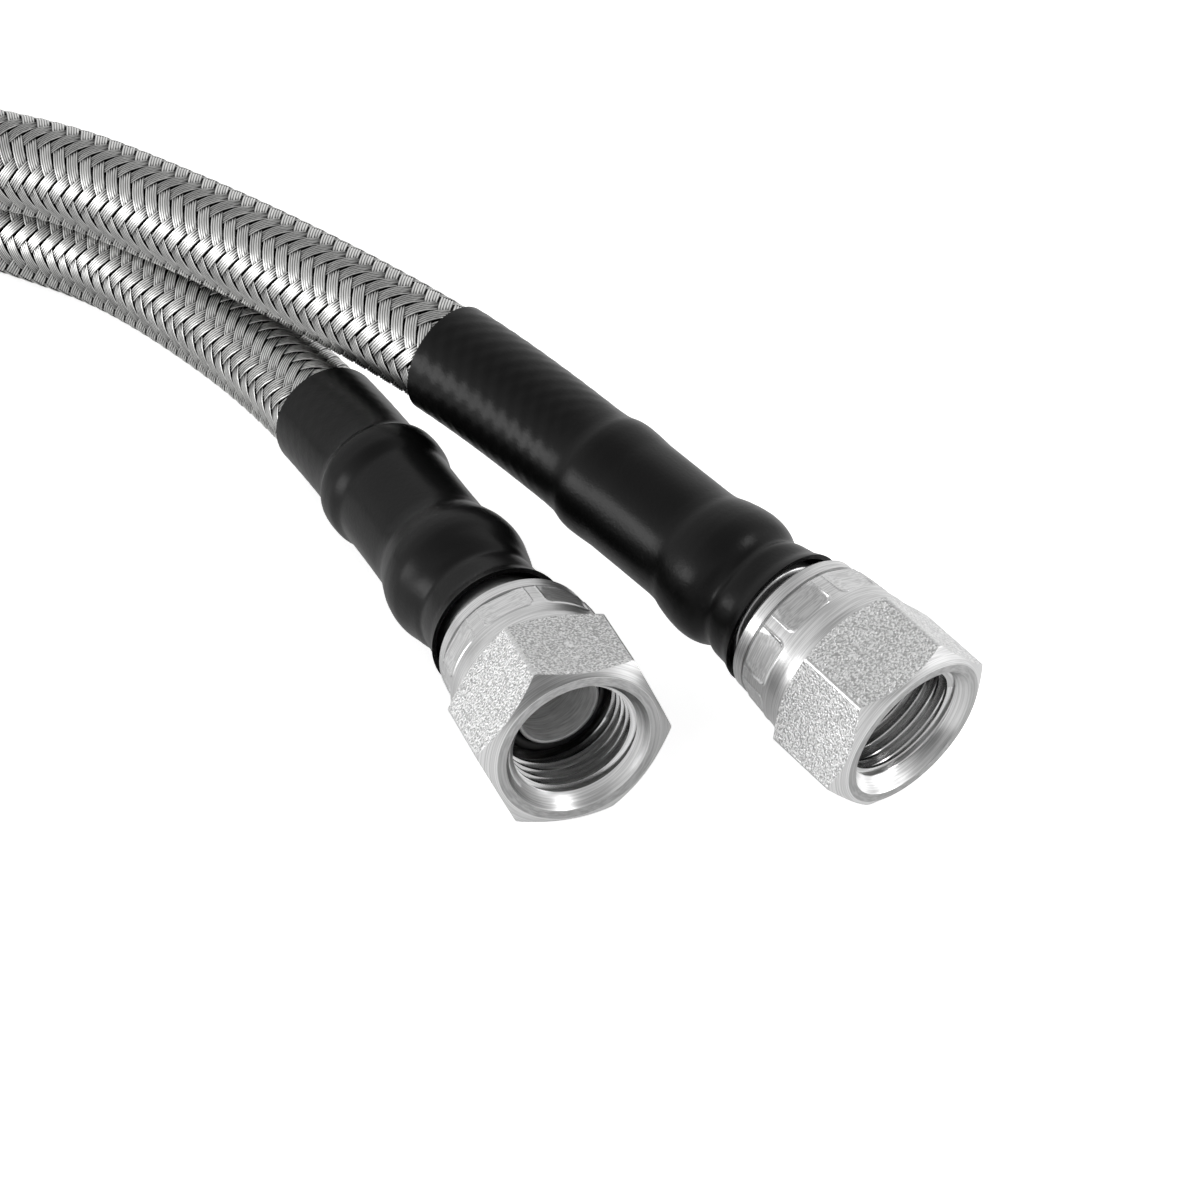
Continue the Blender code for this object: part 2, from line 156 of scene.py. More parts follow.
def along_hose(distance, angle, radius):
    """Points, in metres, this far along the hose's line, round it and out from it."""
    centre, side, up = (
        np.stack([np.interp(distance, line_distance, column) for column in table.T], axis=-1)
        for table in (line, line_side, line_up)
    )
    out = np.cos(angle)[..., None] * side + np.sin(angle)[..., None] * up
    return (centre + radius[..., None] * out) * MM


# The hose's tube: black synthetic rubber, extruded over the liner. It starts and ends at the
# sleeves' rear edges, and only slits of it show between the bands of wire.
TUBE_RADIUS = 7.6
TUBE_POINTS = 206
SLEEVE_REAR = {"a": 105.0, "b": 95.0}
SLEEVE_GAP = 0.3
free_start = SLEEVE_REAR["a"] + SLEEVE_GAP - LINE_STATIONS[0]
free_end = line_length - (SLEEVE_REAR["b"] + SLEEVE_GAP - LINE_STATIONS[0])


def linear(hex_colour):
    """An sRGB hex colour as the linear values that a shader takes."""
    parts = [int(hex_colour[i : i + 2], 16) / 255 for i in (0, 2, 4)]
    parts = [part / 12.92 if part <= 0.04045 else ((part + 0.055) / 1.055) ** 2.4 for part in parts]
    return (*parts, 1.0)


def add_node(tree, kind, inputs=None, **settings):
    """One shader node with its settings. An input given a socket is linked to it, any other is set."""
    made = tree.nodes.new("ShaderNode" + kind)
    for name, value in settings.items():
        setattr(made, name, value)
    for name, value in (inputs or {}).items():
        if isinstance(value, bpy.types.NodeSocket):
            tree.links.new(value, made.inputs[name])
        else:
            made.inputs[name].default_value = value
    return made


def start_material(name, **sockets):
    """A new material, its tree and its shader, with these sockets of the shader set."""
    made = bpy.data.materials.new(name)
    made.use_nodes = True
    shader = made.node_tree.nodes["Principled BSDF"]
    for socket, value in sockets.items():
        shader.inputs[socket.replace("_", " ")].default_value = value
    return made, made.node_tree, shader


def finish_by(pattern, tree, shader, colours, span=(0.0, 1.0), roughness=None, relief=None):
    """Makes a surface follow a pattern: from the first colour to the second over this span of it,
    from the first roughness to the second, and in relief of this strength and height."""
    shade = add_node(tree, "ValToRGB", {"Fac": pattern})
    for element, position, hex_colour in zip(shade.color_ramp.elements, span, colours):
        element.position = position
        element.color = linear(hex_colour)
    tree.links.new(shade.outputs["Color"], shader.inputs["Base Color"])
    if roughness:
        smooth, dull = roughness
        rough = add_node(tree, "MapRange", {"Value": pattern, "To Min": smooth, "To Max": dull})
        tree.links.new(rough.outputs["Result"], shader.inputs["Roughness"])
    if relief:
        strength, height = relief
        bump = add_node(
            tree, "Bump", {"Height": pattern, "Strength": strength, "Distance": height * MM}
        )
        tree.links.new(bump.outputs["Normal"], shader.inputs["Normal"])
    return shade.outputs["Color"]


# Extruded synthetic rubber: black with a dull skin, a little patchy where the wire has rubbed it,
# in patches about 1.1 mm across.
RUBBED_PATCHES_PER_METRE = 900.0
tube_rubber, tree, shader = start_material("extruded_rubber", Roughness=0.7)
place = add_node(tree, "TexCoord").outputs["Object"]
patches = add_node(
    tree, "TexNoise", {"Vector": place, "Scale": RUBBED_PATCHES_PER_METRE, "Detail": 3.0}
)
finish_by(patches.outputs["Fac"], tree, shader, ("0b0b0b", "1c1c1c"))

tube_curve = bpy.data.curves.new("hose_tube", "CURVE")
tube_curve.dimensions = "3D"
tube_curve.bevel_depth = TUBE_RADIUS * MM
tube_curve.bevel_resolution = 6
tube_curve.use_fill_caps = True
tube_points = np.linspace(free_start, free_end, TUBE_POINTS)
tube_spline = tube_curve.splines.new("POLY")
tube_spline.points.add(TUBE_POINTS - 1)
tube_middle = along_hose(tube_points, tube_points * 0, tube_points * 0)
for point, middle in zip(tube_spline.points, tube_middle):
    point.co = (*middle, 1.0)
tube_curve.materials.append(tube_rubber)
hose_tube = bpy.data.objects.new("hose_tube", tube_curve)
scene.collection.objects.link(hose_tube)
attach(hose_tube, "hose")
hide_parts("hose_run")

# The braid: 24 flat bands of bright stainless wire, twelve wound each way at about 56 degrees to
# the hose, each passing over two bands and under the next two. A machine lays it on the tube.
BANDS = 12  # each way
BAND_PITCH = 2.9
BAND_WIDTH = 2.1
WIRE = 0.4
BRAID_RADIUS = 8.1
BRAID_LIFT = 0.26  # how far a band rises and dives from that radius
BRAID_TURN = math.radians(30.0)
BAND_STEPS = 8  # lengths of mesh in one rise and dive of a band
VALLEY_SHADE = 0.95  # the dark between two wires, from 0 to 1
DIVE_SHADE, DIVE_FADE = 0.55, 1.8  # the dark where a band dives, and how fast it goes as it rises
BRAID_LENGTHS = (  # start and end along the line, and wires to a band: one fewer round the loop
    (free_start, 190.0, 5),
    (190.0, 370.0, 4),
    (370.0, 550.0, 4),
    (550.0, 735.0, 4),
    (735.0, free_end, 5),
)
lean = math.atan2(math.tau * BRAID_RADIUS, BANDS * BAND_PITCH)

# Drawn stainless wire: bright, streaked along its length, a little darker in some bands, with painted
# shade, near black, in the crevices between wires, at a band's edges and underside, and where a band
# dives.
STREAKS = (0.35, 1.5, 7.7)  # one for every 2.9 mm along a band and 0.7 mm across, unlike in each band
braid_wire, tree, shader = start_material("drawn_stainless_wire", Metallic=1.0)
place = add_node(tree, "Attribute", attribute_name="wire").outputs["Vector"]
streaks = add_node(tree, "TexNoise", {"Vector": place, "Scale": 1.0, "Detail": 3.0})
bright = finish_by(
    streaks.outputs["Fac"], tree, shader, ("cececd", "f4f4f2"), (0.3, 0.7), roughness=(0.29, 0.43)
)
# Painted shade: the wire's colour is multiplied down nearly to black by the shade that each point of the
# braid carries, in its valleys, at its edges and underside, and where a band dives.
painted_crevice_shade = add_node(tree, "Attribute", attribute_name="painted_crevice_shade").outputs["Fac"]
painted_shade = finish_by(painted_crevice_shade, tree, shader, ("ffffff", "161616"), (0.3, 0.95))
dark = add_node(
    tree, "MixRGB", {"Fac": 1.0, "Color1": bright, "Color2": painted_shade}, blend_type="MULTIPLY"
)
tree.links.new(dark.outputs["Color"], shader.inputs["Base Color"])


def braid(name, first, last, wires):
    """All 24 bands between two distances along the hose, each laid as this many wires."""
    rows = 2 * wires + 1  # over a band: an edge, then the crest of each wire and the valley after it
    lengthwise = round((last - first) / (2 * BAND_PITCH) * BAND_STEPS)
    bm = bmesh.new()
    for _ in range(2 * BANDS):
        bmesh.ops.create_grid(bm, x_segments=lengthwise, y_segments=rows + 2, size=0.5)
    mesh = bpy.data.meshes.new(name)
    bm.to_mesh(mesh)
    bm.free()

    # Across a band: the rows over it, then back underneath it to where they began.
    crest = np.arange(rows) % 2 == 1
    across = np.linspace(-BAND_WIDTH / 2, BAND_WIDTH / 2, rows)
    across = np.append(across, (across[-1], across[0], across[0]))[None, :, None]
    height = np.where(crest, WIRE / 2, WIRE / 12)
    height = np.append(height, (-WIRE / 2, -WIRE / 2, height[0]))[None, :, None]
    # Painted shade: strong in the valleys between wires, full at a band's edges and underneath it, none on
    # the crests.
    shade = np.where(crest, 0.0, VALLEY_SHADE)
    shade[[0, -1]] = 1.0
    shade = np.append(shade, (1.0, 1.0, 1.0))[None, :, None]

    # Round the hose: a band of either hand winds its own way, and rises over and dives under
    # the other hand's, which a wave of four crossings gives.
    band = np.arange(2 * BANDS)[:, None, None]
    hand, number = np.where(band % 2, -1, 1), band // 2
    turn = math.tau / BANDS
    distance = np.linspace(first, last, lengthwise + 1)[None, None, :]
    winding = hand * distance / BAND_PITCH * turn
    angle = winding + number * turn + across / (BRAID_RADIUS * math.cos(lean))
    crossed = (angle + winding) / turn
    over = hand * np.cos(math.tau / 4 * (number + crossed) - math.tau / 8)
    radius = BRAID_RADIUS + BRAID_LIFT * over + height
    # Painted shade is added where a band dives under the other hand's, and fades as the band rises.
    painted_crevice_shade = np.clip(shade + np.clip(DIVE_SHADE - DIVE_FADE * over, 0.0, 1.0), 0.0, 1.0)
    distance = np.broadcast_to(distance, radius.shape)
    points = along_hose(distance, angle + BRAID_TURN, radius)
    mesh.vertices.foreach_set("co", points.reshape(-1))
    wire = np.broadcast_arrays(*(part * step for part, step in zip((distance, across, band), STREAKS)))
    wire = np.stack(wire, axis=-1)
    mesh.attributes.new("wire", "FLOAT_VECTOR", "POINT").data.foreach_set("vector", wire.reshape(-1))
    mesh.attributes.new("painted_crevice_shade", "FLOAT", "POINT").data.foreach_set("value", painted_crevice_shade.reshape(-1))

    bm = bmesh.new()
    bm.from_mesh(mesh)
    bmesh.ops.remove_doubles(bm, verts=bm.verts, dist=1e-7)
    bmesh.ops.holes_fill(bm, edges=[edge for edge in bm.edges if edge.is_boundary])
    bmesh.ops.recalc_face_normals(bm, faces=bm.faces)
    bm.to_mesh(mesh)
    bm.free()
    mesh.shade_smooth()
    mesh.materials.append(braid_wire)
    made = bpy.data.objects.new(name, mesh)
    scene.collection.objects.link(made)
    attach(made, "hose")
    return made


braids = [braid(f"braid_{i + 1}", *length) for i, length in enumerate(BRAID_LENGTHS)]

# The studio: a white paper floor, under a pale room that darkens overhead and behind the camera,
# and three soft lamps. The paper glows for the camera, so that it is seen as pure white, and a
# little for bright metal, whose edges would be lost against the white if it mirrored more of it.
FLOOR_REACH = 6.0
CAMERA_GLOW, MIRROR_GLOW = 0.7, 0.15
SUBJECT = Vector((0.0, 0.02, 0.0))
LAMPS = (  # place, width and height in metres, and power in watts
    ("left_softbox", (-1.0, 0.12, 0.2), 0.46, 0.38, 2.8),
    ("right_softbox", (1.0, -0.35, 0.3), 0.6, 0.4, 3.0),
    ("top_softbox", (0.66, -0.3, 0.95), 0.32, 0.28, 1.9),
)
bm = bmesh.new()
bmesh.ops.create_grid(bm, x_segments=1, y_segments=1, size=FLOOR_REACH)
mesh = bpy.data.meshes.new("floor")
bm.to_mesh(mesh)
bm.free()
floor = bpy.data.objects.new("floor", mesh)
scene.collection.objects.link(floor)
white_paper, tree, shader = start_material(
    "white_paper", Roughness=0.9, Base_Color=linear("f6f6f6"), Emission_Color=linear("ffffff")
)
rays = add_node(tree, "LightPath").outputs
mirror = {0: rays["Is Glossy Ray"], 1: rays["Is Transmission Ray"]}
mirror = add_node(tree, "Math", mirror, operation="MAXIMUM").outputs[0]
mirror = add_node(tree, "Math", {0: mirror, 1: MIRROR_GLOW}, operation="MULTIPLY").outputs[0]
glow = {0: rays["Is Camera Ray"], 1: CAMERA_GLOW, 2: mirror}
glow = add_node(tree, "Math", glow, operation="MULTIPLY_ADD").outputs[0]
tree.links.new(glow, shader.inputs["Emission Strength"])
mesh.materials.append(white_paper)

scene.world = bpy.data.worlds.new("studio")
scene.world.use_nodes = True
tree = scene.world.node_tree
way = add_node(tree, "SeparateXYZ", {"Vector": add_node(tree, "TexCoord").outputs["Generated"]})
room = add_node(tree, "ValToRGB", {"Fac": way.outputs["Z"]})
for element, height, hex_colour in zip(room.color_ramp.elements, (0.65, 0.95), ("f1f1f1", "b3b3b3")):
    element.position = height
    element.color = linear(hex_colour)
dimmed = {"Value": way.outputs["Y"], "From Min": -0.92, "From Max": -0.6, "To Min": 0.12, "To Max": 1.0}
dimmed = add_node(tree, "MapRange", dimmed).outputs["Result"]
room = {"Fac": 1.0, "Color1": room.outputs["Color"], "Color2": dimmed}
room = add_node(tree, "MixRGB", room, blend_type="MULTIPLY").outputs["Color"]
tree.links.new(room, tree.nodes["Background"].inputs["Color"])

for name, spot, wide, tall, power in LAMPS:
    lamp = bpy.data.objects.new(name, bpy.data.lights.new(name, "AREA"))
    scene.collection.objects.link(lamp)
    lamp.location = spot
    lamp.rotation_euler = (SUBJECT - Vector(spot)).to_track_quat("-Z", "Y").to_euler()
    lamp.data.shape = "RECTANGLE"
    lamp.data.size = wide
    lamp.data.size_y = tall
    lamp.data.energy = power
scene.view_settings.view_transform = "Standard"

# The two nipples: bar steel turned on a lathe, with a sealing nose, an O-ring groove, a head that
# holds the nut, a shoulder, and a barbed tail inside the hose. A bore runs through.
FERRULE_STATION = {"a": 36.3, "b": 41.3}  # where each crimped ferrule starts
BARBS, BARB_PITCH = 6, 4.333
BORE_REACH = 6.22  # nothing but the bore is nearer to the axis


def turned(outline, steps):
    """A closed outline of stations and radii, spun round the Z axis into a solid."""
    bm = bmesh.new()
    verts = [bm.verts.new((radius, 0.0, station)) for station, radius in outline]
    edges = [bm.edges.new((verts[i - 1], verts[i])) for i in range(len(verts))]
    bmesh.ops.spin(
        bm, geom=verts + edges, cent=(0, 0, 0), axis=(0, 0, 1), angle=math.tau, steps=steps, use_merge=True
    )
    bmesh.ops.remove_doubles(bm, verts=bm.verts, dist=0.001)
    bmesh.ops.recalc_face_normals(bm, faces=bm.faces)
    return bm


def on_axis(points, end, way):
    """Points round an axis that passes this way through an end's pivot, put where it is."""
    points = points - (0.0, 0.0, PIVOT_STATION)
    return np.array(FITTINGS[end]["pivot"]) + points @ np.array(directions(*way))


def add_piece(bm, name, finishes, body, node, place, sharp=35.0):
    """A piece made round its own axis: it keeps those millimetres as "local", and is then put in
    its place. An edge that turns by more than this many degrees stays sharp."""
    mesh = bpy.data.meshes.new(name)
    bm.to_mesh(mesh)
    bm.free()
    points = np.empty(3 * len(mesh.vertices), np.float32)
    mesh.vertices.foreach_get("co", points)
    mesh.attributes.new("local", "FLOAT_VECTOR", "POINT").data.foreach_set("vector", points)
    mesh.vertices.foreach_set("co", (place(points.reshape(-1, 3).astype(float)) * MM).reshape(-1))
    mesh.shade_smooth()
    mesh.set_sharp_from_angle(angle=math.radians(sharp))
    for finish in finishes:
        mesh.materials.append(finish)
    made = bpy.data.objects.new(name, mesh)
    scene.collection.objects.link(made)
    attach(made, body)
    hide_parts(node)
    return made


# Turned steel: rings from the tool, 0.08 mm apart as on the real bar and broken every 4 mm or so,
# which blur into a soft grey shine.
turned_steel, tree, shader = start_material("turned_steel", Metallic=1.0)
place = add_node(tree, "Attribute", attribute_name="local").outputs["Vector"]
place = add_node(tree, "Mapping", {"Vector": place, "Scale": (1 / 4.0, 1 / 4.0, 12.0)})
rings = add_node(tree, "TexNoise", {"Vector": place.outputs["Vector"], "Scale": 1.0, "Detail": 4.0})
finish_by(
    rings.outputs["Fac"],
    tree,
    shader,
    ("a8a8a8", "d8d8d8"),
    (0.3, 0.7),
    roughness=(0.22, 0.4),
    relief=(0.25, 0.05),
)

# Inside, a drilled and phosphated bore: grey and dull, scratched by the drill every 0.3 mm.
dull_bore, tree, shader = start_material("drilled_bore", Metallic=0.3, Roughness=0.55)
place = add_node(tree, "Attribute", attribute_name="local").outputs["Vector"]
place = add_node(tree, "Mapping", {"Vector": place, "Scale": (1 / 2.5, 1 / 2.5, 3.0)})
scratches = add_node(tree, "TexNoise", {"Vector": place.outputs["Vector"], "Scale": 1.0, "Detail": 5.0})
finish_by(scratches.outputs["Fac"], tree, shader, ("bebebe", "ececec"), (0.3, 0.7))

for end, ferrule in FERRULE_STATION.items():
    outline = [
        (10.6, 6.1),  # the nose, with a thin raised rim
        (10.36, 6.2),
        (10.3, 6.4),
        (10.32, 6.62),
        (10.42, 6.76),
        (10.6, 6.8),
        (10.8, 6.4),
        (13.5, 6.4),  # the O-ring's groove
        (13.5, 8.6),  # the head
        (13.65, 8.82),
        (13.9, 8.9),
        (15.6, 8.9),
        (16.6, 7.5),  # the neck that the nut turns round
        (28.9, 7.5),
        (29.3, 8.3),  # the shoulder
        (29.5, 8.7),
        (29.8, 8.9),
        (ferrule - 0.4, 8.9),
        (ferrule - 0.4, 6.6),  # the groove that the ferrule is pressed into
        (ferrule + 2.6, 6.6),
        (ferrule + 2.6, 5.7),  # the tail
    ]
    for barb in range(BARBS):
        station = ferrule + 3.5 + barb * BARB_PITCH
        outline += [(station + 0.6, 5.92), (station + BARB_PITCH - 0.4, 5.7)]
    outline += [(ferrule + 31.0, 5.1), (ferrule + 31.0, 4.6), (34.0, 4.6), (31.0, 6.2)]
    bm = turned(outline, 128)
    for face in bm.faces:
        middle = face.calc_center_median()
        face.material_index = int(math.hypot(middle.x, middle.y) < BORE_REACH)
    add_piece(
        bm,
        "sealing_nipple_" + end,
        finishes=[turned_steel, dull_bore],
        body="hose",
        node="nipple_" + end,
        place=lambda points: on_axis(points, end, FITTINGS[end]["way"]),
    )

# The O-rings: moulded nitrile rubber, stretched into the groove behind each nose.
RING_STATION, RING_RADIUS, RING_THICKNESS = 12.1, 7.9, 2.2

# Moulded nitrile: black with a satin skin, and a faint bloom in patches of about 0.7 mm.
nitrile, tree, shader = start_material("moulded_nitrile")
place = add_node(tree, "Attribute", attribute_name="local").outputs["Vector"]
bloom = add_node(tree, "TexNoise", {"Vector": place, "Scale": 1.5, "Detail": 3.0})
finish_by(bloom.outputs["Fac"], tree, shader, ("050505", "101010"), roughness=(0.35, 0.5))
for end in FITTINGS:
    around = [math.tau * i / 24 for i in range(24)]
    half = RING_THICKNESS / 2
    section = [
        (RING_STATION + half * math.sin(angle), RING_RADIUS + half * math.cos(angle)) for angle in around
    ]
    add_piece(
        turned(section, 96),
        "seal_" + end,
        finishes=[nitrile],
        body="hose",
        node="o_ring_" + end,
        place=lambda points: on_axis(points, end, FITTINGS[end]["way"]),
    )

# Under the sleeves: a pressed steel ferrule grips the hose's end, whose liner and braid show only
# where a sleeve is cut back. These keep the frame's own shapes.
SCUFFS_PER_METRE = 600.0
STRANDS_PER_METRE = 700.0

# Pressed steel: grey, with scuffs from the press about 1.7 mm long.
pressed_steel, tree, shader = start_material("pressed_steel", Metallic=1.0)
place = add_node(tree, "TexCoord").outputs["Object"]
scuffs = add_node(tree, "TexNoise", {"Vector": place, "Scale": SCUFFS_PER_METRE, "Detail": 4.0})
finish_by(scuffs.outputs["Fac"], tree, shader, ("8a8a88", "bdbdbb"), roughness=(0.3, 0.5))

# Cut wire braid: bright strands with dark gaps, a few to each millimetre.
woven_end, tree, shader = start_material("cut_braid_end", Metallic=1.0, Roughness=0.35)
place = add_node(tree, "TexCoord").outputs["Object"]
strands = add_node(
    tree, "TexWave", {"Vector": place, "Scale": STRANDS_PER_METRE, "Distortion": 3.0, "Detail": 2.0}
)
finish_by(strands.outputs["Fac"], tree, shader, ("3a3a3a", "c9c9c7"))
for end in FITTINGS:
    bpy.data.objects["ferrule_" + end].data.materials[0] = pressed_steel
    bpy.data.objects["braid_end_" + end].data.materials[0] = woven_end
    bpy.data.objects["liner_end_" + end].data.materials[0] = tube_rubber

# The sleeves: black heat-shrink tube, shrunk over the ferrule and the hose's end. It bellies over
# the ferrule, creases beside it, and takes a faint print of the braid behind it.
SLEEVES = {  # stations of front edge and waist, radii of lip, bulge and rear ridge, depth of the print
    "a": {"front": 28.9, "lip": 11.6, "waist": 35.3, "bulge": 11.4, "ridge": 10.2, "print": 0.042},
    "b": {"front": 31.0, "lip": 11.2, "waist": 37.8, "bulge": 11.6, "ridge": 10.75, "print": 0.012},
}
SLEEVE_WALL = 0.55
SLEEVE_ROW = 0.4
SLEEVE_BLUR = 0.42  # how far the shrunk tube rounds off what is under it
TAIL_RADIUS = 9.33
GRIP_JAWS, GRIP_DEPTH = 8, 0.06
FOLD_COUNT, FOLD_DEPTH = 5, 0.07


def on_hose(points, end):
    """Points round a fitting's axis, bent behind the ferrule to follow the hose's line."""
    past = points[:, 2] - LINE_STATIONS[0]
    distance = past if end == "a" else line_length - past
    here = np.stack([np.interp(distance, line_distance, column) for column in line.T], axis=-1)
    back = np.stack([np.interp(distance, line_distance, column) for column in line_ahead.T], axis=-1)
    back *= 1 if end == "a" else -1
    straight = past <= LINE_STEP
    back[straight] = np.array(directions(*FITTINGS[end]["way"])[2])
    here[straight] = np.array(axis_point(end, LINE_STATIONS[0])) + past[straight, None] * back[straight]
    back /= np.linalg.norm(back, axis=1)[:, None]
    upright = np.array((0.0, 0.0, 1.0)) - back * back[:, 2:]
    upright /= np.linalg.norm(upright, axis=1)[:, None]
    return here + points[:, :1] * np.cross(upright, back) + points[:, 1:2] * upright


def sleeve(end):
    """One sleeve round its own axis: outside, rolled lip, inside and cut rear edge."""
    size, ferrule, rear = SLEEVES[end], FERRULE_STATION[end], SLEEVE_REAR[end]
    front, lip, waist = size["front"], size["lip"], size["waist"]
    knots = (
        (front, lip),  # the flared lip
        (front + 0.9, lip - 0.35),
        (front + 1.8, lip - 0.8),
        (waist - 1.2, lip - 1.2),
        (waist, 9.75),  # the waist
        (waist + 1.2, 10.2),
        (ferrule + 1.4, size["bulge"] - 0.5),
        (ferrule + 3.0, size["bulge"] - 0.1),
        (ferrule + 4.8, size["bulge"]),  # the bulge over the ferrule's front
        (ferrule + 7.0, size["bulge"] - 0.25),
        (ferrule + 9.2, 10.7),
        (ferrule + 11.0, 10.1),
        (ferrule + 13.0, 9.9),  # the crimp
        (ferrule + 20.0, 9.86),
        (ferrule + 26.8, 9.9),
        (ferrule + 29.2, size["ridge"] - 0.1),
        (ferrule + 31.6, size["ridge"]),  # the ridge over the ferrule's rear edge
        (ferrule + 33.4, size["ridge"] - 0.15),
        (ferrule + 34.2, 9.75),
        (ferrule + 35.6, 9.45),
        (ferrule + 38.0, TAIL_RADIUS),  # the hose
        (rear, TAIL_RADIUS),
    )
    known = np.array(knots)
    stations = np.linspace(front, rear, round((rear - front) / SLEEVE_ROW))
    blur = np.exp(-0.5 * (np.arange(-6, 7) * SLEEVE_ROW / SLEEVE_BLUR) ** 2)
    radii = np.interp(stations, known[:, 0], known[:, 1])
    radii = np.convolve(np.pad(radii, 6, mode="edge"), blur / blur.sum(), mode="valid")
    outside = list(zip(stations, radii))
    inside = [(front, lip - 1.5 * SLEEVE_WALL)]
    inside += [(station, radius - SLEEVE_WALL) for station, radius in outside[4::6]]
    inside += [(rear, TAIL_RADIUS - SLEEVE_WALL)]
    bm = turned(outside + inside[::-1], 144)
    for vert in bm.verts:
        station, angle = vert.co.z, math.atan2(vert.co.y, vert.co.x)
        on_braid = min(max((station - ferrule - 37.0) / 4.0, 0.0), 1.0)
        on_braid *= min(max((rear - station) / 2.0, 0.0), 1.0)
        weave = math.cos(math.tau * station / BAND_PITCH) * math.cos(BANDS * angle)
        on_crimp = math.exp(-(((station - ferrule - 20.0) / 7.0) ** 4))
        jaws = math.cos(GRIP_JAWS * angle)
        in_crease = math.exp(-(((station - ferrule + 1.5) / 3.0) ** 2))
        folds = math.sin(FOLD_COUNT * angle + 0.9 * station)
        swell = size["print"] * on_braid * weave + GRIP_DEPTH * on_crimp * jaws
        swell += FOLD_DEPTH * in_crease * folds
        radius = math.hypot(vert.co.x, vert.co.y)
        vert.co.x *= 1.0 + swell / radius
        vert.co.y *= 1.0 + swell / radius
    return bm


# Heat-shrink polyolefin: black, smooth and waxy, with dull scuffs about 8 mm across and a faint
# orange peel of 0.6 mm.
SCUFFS_PER_MM = 0.12
PEEL_PER_MM = 1.6
shrink_tube, tree, shader = start_material("shrunk_polyolefin", Specular_IOR_Level=0.19)
place = add_node(tree, "Attribute", attribute_name="local").outputs["Vector"]
scuffs = add_node(tree, "TexNoise", {"Vector": place, "Scale": SCUFFS_PER_MM, "Detail": 4.0})
finish_by(scuffs.outputs["Fac"], tree, shader, ("050505", "0c0c0c"), roughness=(0.26, 0.36))
peel = add_node(tree, "TexNoise", {"Vector": place, "Scale": PEEL_PER_MM, "Detail": 3.0})
bump = {"Height": peel.outputs["Fac"], "Strength": 0.3, "Distance": 0.08 * MM}
bump = add_node(tree, "Bump", bump)
tree.links.new(bump.outputs["Normal"], shader.inputs["Normal"])
for end in FITTINGS:
    add_piece(
        sleeve(end),
        "sleeve_" + end,
        finishes=[shrink_tube],
        body="hose",
        node="heat_shrink_" + end,
        place=lambda points: on_hose(points, end),
    )

# The nuts: forged steel hexagons, turned at the face and behind, threaded inside, zinc plated
# bright, and pressed in at eight places round the collar to hold them on the nipple.
NUTS = {  # each hangs a little off its fitting's axis, and is turned its own way round
    "a": {"way": (-72.3, -7.4), "turn": 44.9},
    "b": {"way": (-90.0, 3.2), "turn": 8.2},
}
NUT_CORNER = 27.0 / math.sqrt(3)  # 27 mm across its flats
HEXAGON_LENGTH = 15.65
EDGE_ROUNDING = 0.35
NUT_SEAM = 13.0  # behind this station the collar's own skin covers a plain core
THREAD_PITCH = 1.814
THREAD_START, THREAD_END = 1.1, 11.4
THREAD_STEPS = 72  # lengths of mesh in one turn of the thread


def cut(piece, bm, name, operation):
    """A Boolean on a piece that is still in millimetres, and its result."""
    mesh = bpy.data.meshes.new(name)
    bm.to_mesh(mesh)
    bm.free()
    other = bpy.data.objects.new(name, mesh)
    scene.collection.objects.link(other)
    step = piece.modifiers.new(name, "BOOLEAN")
    step.operation = operation
    step.object = other
    bpy.context.view_layer.update()
    result = bpy.data.meshes.new_from_object(piece.evaluated_get(bpy.context.evaluated_depsgraph_get()))
    piece.modifiers.remove(step)
    piece.data = result
    bpy.data.objects.remove(other)


def hexagon():
    """The hexagon's bar, with its long edges rounded a little."""
    bm = bmesh.new()
    bmesh.ops.create_cone(
        bm, cap_ends=True, segments=6, radius1=NUT_CORNER, radius2=NUT_CORNER, depth=HEXAGON_LENGTH
    )
    bmesh.ops.translate(bm, vec=(0, 0, HEXAGON_LENGTH / 2), verts=bm.verts)
    long_edges = [edge for edge in bm.edges if abs(edge.verts[0].co.z - edge.verts[1].co.z) > 1]
    bmesh.ops.bevel(
        bm,
        geom=long_edges,
        offset=EDGE_ROUNDING,
        offset_type="OFFSET",
        segments=4,
        profile=0.5,
        affect="EDGES",
        material=-1,
    )
    return bm


def thread():
    """A V-shaped ridge along a helix, with a rounded crest, which cuts the nut's thread."""
    bm = bmesh.new()
    outline = (
        (9.1, -0.76),
        (9.36, -0.68),
        (10.42, -0.16),
        (10.5, 0.0),
        (10.42, 0.16),
        (9.36, 0.68),
        (9.1, 0.76),
    )
    verts = [bm.verts.new((radius, 0.0, THREAD_START + along)) for radius, along in outline]
    edges = [bm.edges.new((verts[i - 1], verts[i])) for i in range(len(verts))]
    count = round((THREAD_END - THREAD_START) / THREAD_PITCH * THREAD_STEPS)
    bmesh.ops.spin(
        bm,
        geom=verts + edges,
        cent=(0, 0, 0),
        axis=(0, 0, 1),
        dvec=(0, 0, THREAD_PITCH / THREAD_STEPS),
        angle=math.tau * count / THREAD_STEPS,
        steps=count,
    )
    bmesh.ops.holes_fill(bm, edges=[edge for edge in bm.edges if edge.is_boundary])
    bmesh.ops.recalc_face_normals(bm, faces=bm.faces)
    return bm


STAKES = 8  # places pressed flat round the collar
STAKE_FRONT, STAKE_HALF_WIDTH, STAKE_CORNER = 19.3, 3.7, 0.9
STAKE_DEPTH = 12.15  # from the nut's axis to the flat
STAKE_EDGE = 0.22  # how wide the slope down to the flat is
BURR_HEIGHT, BURR_WIDTH = 0.14, 0.13  # of the metal that the press pushes up round a flat
SKIN_COLUMNS, SKIN_ROW = 640, 0.15


